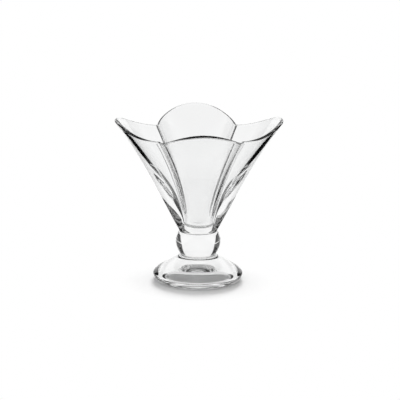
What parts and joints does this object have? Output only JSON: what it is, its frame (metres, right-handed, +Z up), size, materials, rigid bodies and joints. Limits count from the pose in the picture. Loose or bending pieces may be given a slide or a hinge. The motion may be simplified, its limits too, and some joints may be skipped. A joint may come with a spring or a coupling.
{
  "type": "dessert cup",
  "caption": "Clear pressed-glass dessert cup: flaring tulip bowl with scalloped petals, ball stem and round foot, hollow underneath.",
  "frame": {"origin": "centre of the circle that the foot stands on", "axes": "+Z up along the cup's axis; X and Y run through the notches between the petals"},
  "size_m": [0.1006, 0.1006, 0.1184],
  "materials": {
    "clear_glass": "fire-polished, clear"
  },
  "bodies": {
    "root": {"bowl": "clear_glass", "ball_stem": "clear_glass", "foot": "clear_glass"}
  },
  "joints": []
}
